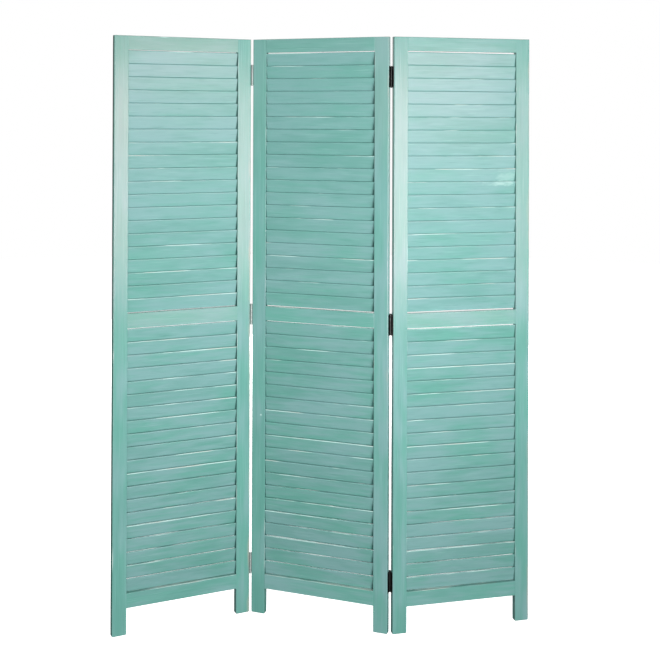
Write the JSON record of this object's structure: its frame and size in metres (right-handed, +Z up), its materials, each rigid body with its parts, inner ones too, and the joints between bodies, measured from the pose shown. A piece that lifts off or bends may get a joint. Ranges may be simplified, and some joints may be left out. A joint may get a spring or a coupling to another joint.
{
  "type": "folding screen",
  "caption": "Free-standing folding screen of louvred wooden panels with fixed slats, joined by butt hinges so that it stands in a zigzag and folds flat.",
  "frame": {"origin": "on the floor, at the centre of the standing screen's bounding box", "axes": "+Z up, X along the screen from its left panel to its right panel, -Y to the front"},
  "size_m": [1.2056, 0.1878, 1.7],
  "materials": {
    "washed_paint": "aqua wash over pine, satin, worn through to bare wood on the slats' edges",
    "dowel_wood": "bare beech",
    "grey_hinge_steel": "dull zinc plate",
    "black_hinge_steel": "black lacquer, semi-gloss"
  },
  "bodies": {
    "middle_panel": {"middle_panel_left_stile": "washed_paint", "middle_panel_right_stile": "washed_paint", "middle_panel_top_rail": "washed_paint", "middle_panel_middle_rail": "washed_paint", "middle_panel_bottom_rail": "washed_paint", "middle_panel_upper_slats": "washed_paint", "middle_panel_lower_slats": "washed_paint", "middle_panel_dowels": "dowel_wood", "upper_left_hinge_middle_leaf": "grey_hinge_steel", "upper_left_hinge_pin": "grey_hinge_steel", "upper_right_hinge_middle_leaf": "black_hinge_steel", "upper_right_hinge_pin": "black_hinge_steel", "middle_left_hinge_middle_leaf": "grey_hinge_steel", "middle_left_hinge_pin": "grey_hinge_steel", "middle_right_hinge_middle_leaf": "black_hinge_steel", "middle_right_hinge_pin": "black_hinge_steel", "lower_left_hinge_middle_leaf": "grey_hinge_steel", "lower_left_hinge_pin": "grey_hinge_steel", "lower_right_hinge_middle_leaf": "black_hinge_steel", "lower_right_hinge_pin": "black_hinge_steel", "middle_panel_left_hinge_screws": "grey_hinge_steel", "middle_panel_right_hinge_screws": "black_hinge_steel"},
    "left_panel": {"left_panel_left_stile": "washed_paint", "left_panel_right_stile": "washed_paint", "left_panel_top_rail": "washed_paint", "left_panel_middle_rail": "washed_paint", "left_panel_bottom_rail": "washed_paint", "left_panel_upper_slats": "washed_paint", "left_panel_lower_slats": "washed_paint", "left_panel_dowels": "dowel_wood", "upper_left_hinge_outer_leaf": "grey_hinge_steel", "middle_left_hinge_outer_leaf": "grey_hinge_steel", "lower_left_hinge_outer_leaf": "grey_hinge_steel", "left_panel_hinge_screws": "grey_hinge_steel"},
    "right_panel": {"right_panel_left_stile": "washed_paint", "right_panel_right_stile": "washed_paint", "right_panel_top_rail": "washed_paint", "right_panel_middle_rail": "washed_paint", "right_panel_bottom_rail": "washed_paint", "right_panel_upper_slats": "washed_paint", "right_panel_lower_slats": "washed_paint", "right_panel_dowels": "dowel_wood", "upper_right_hinge_outer_leaf": "black_hinge_steel", "middle_right_hinge_outer_leaf": "black_hinge_steel", "lower_right_hinge_outer_leaf": "black_hinge_steel", "right_panel_hinge_screws": "black_hinge_steel"}
  },
  "joints": [
    {"name": "left_fold", "type": "hinge", "parent": "middle_panel", "child": "left_panel", "pos_m": [-0.21227, 0.07434, 0], "axis": [0, 0, 1], "range_deg": [-44.8, 135.2]},
    {"name": "right_fold", "type": "hinge", "parent": "middle_panel", "child": "right_panel", "pos_m": [0.1908, -0.0486, 0], "axis": [0, 0, 1], "range_deg": [-34.3, 145.7]}
  ]
}
